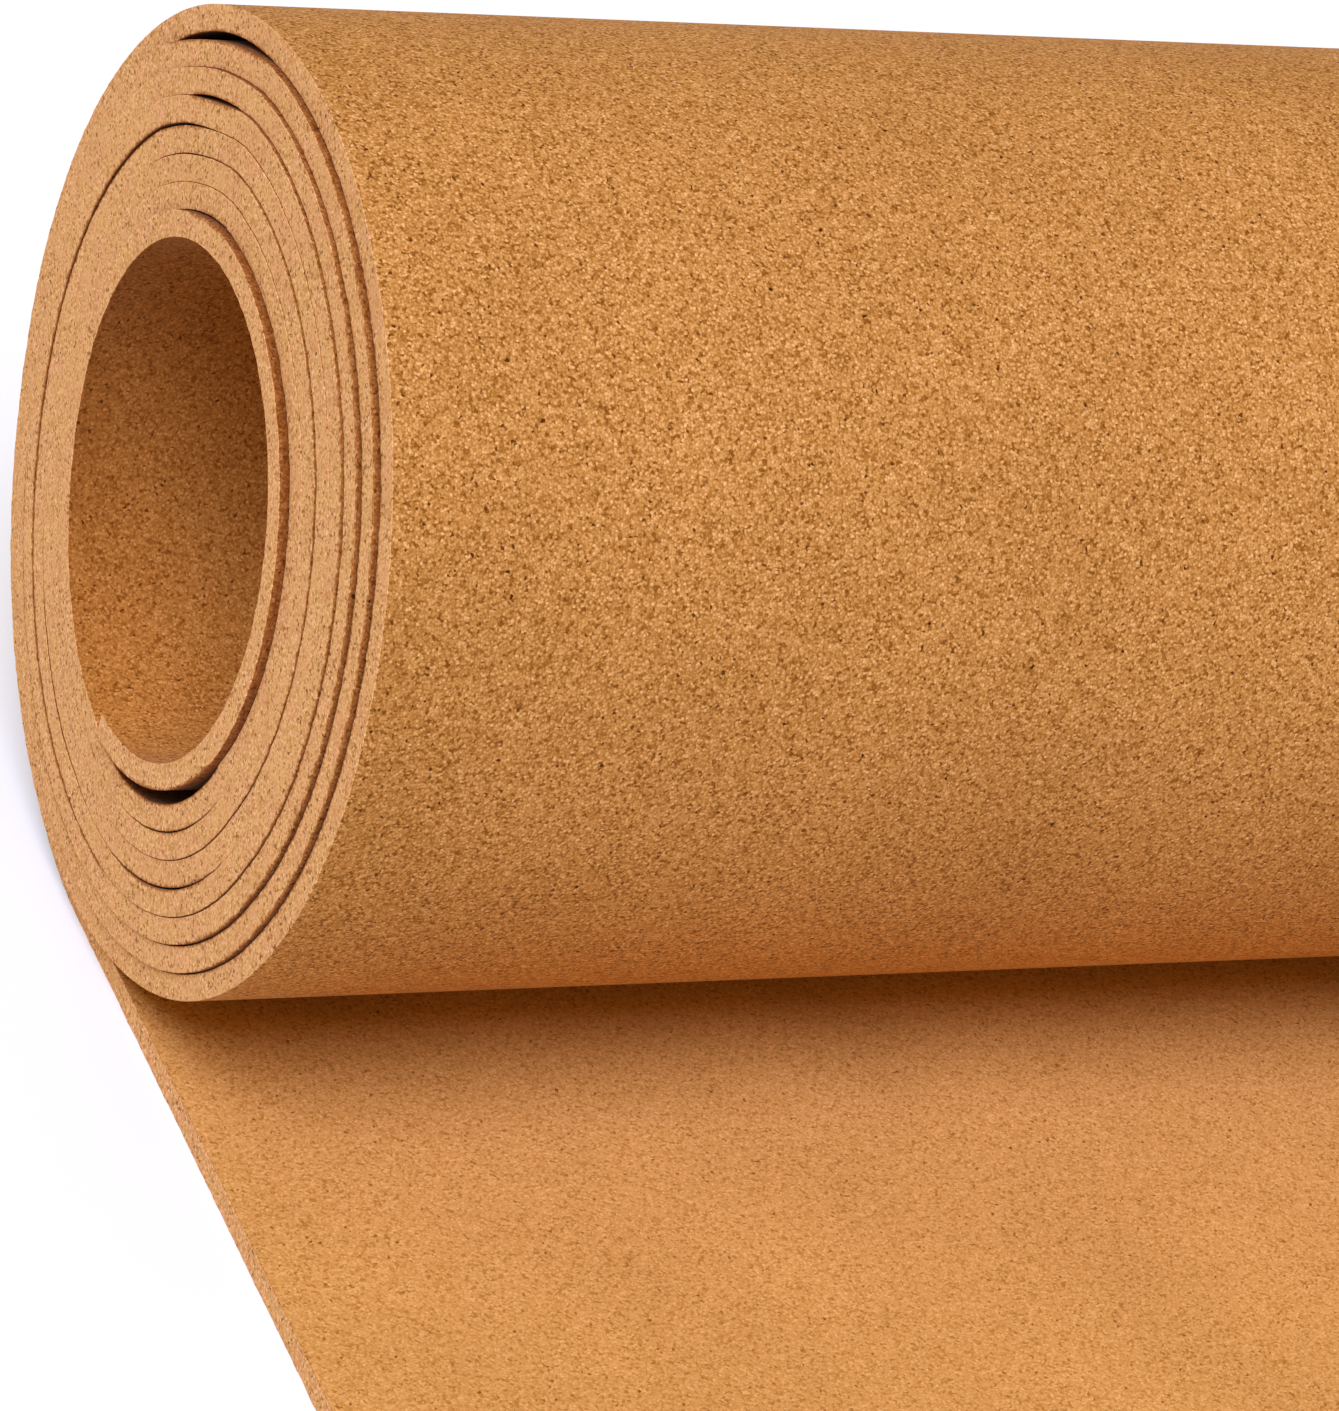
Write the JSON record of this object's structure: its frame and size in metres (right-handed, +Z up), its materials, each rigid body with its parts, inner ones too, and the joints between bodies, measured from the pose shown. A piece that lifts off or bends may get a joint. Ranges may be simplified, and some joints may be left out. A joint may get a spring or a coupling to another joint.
{
  "type": "cork underlayment roll",
  "caption": "Roll of cork underlayment lying on its side: a thick cork sheet wound on itself, its bore open and its loose outer end flat under the roll.",
  "frame": {"origin": "on the floor under the axis of the roll, half way along the sheet's width", "axes": "+X along the roll, -X at the end whose turns stand out; -Y the way the free end runs out; +Z up"},
  "size_m": [1.0064, 0.3246, 0.2339],
  "materials": {
    "cork": "matt agglomerated cork in fine granules, no coating"
  },
  "bodies": {
    "root": {"cork_sheet": "cork"}
  },
  "joints": []
}
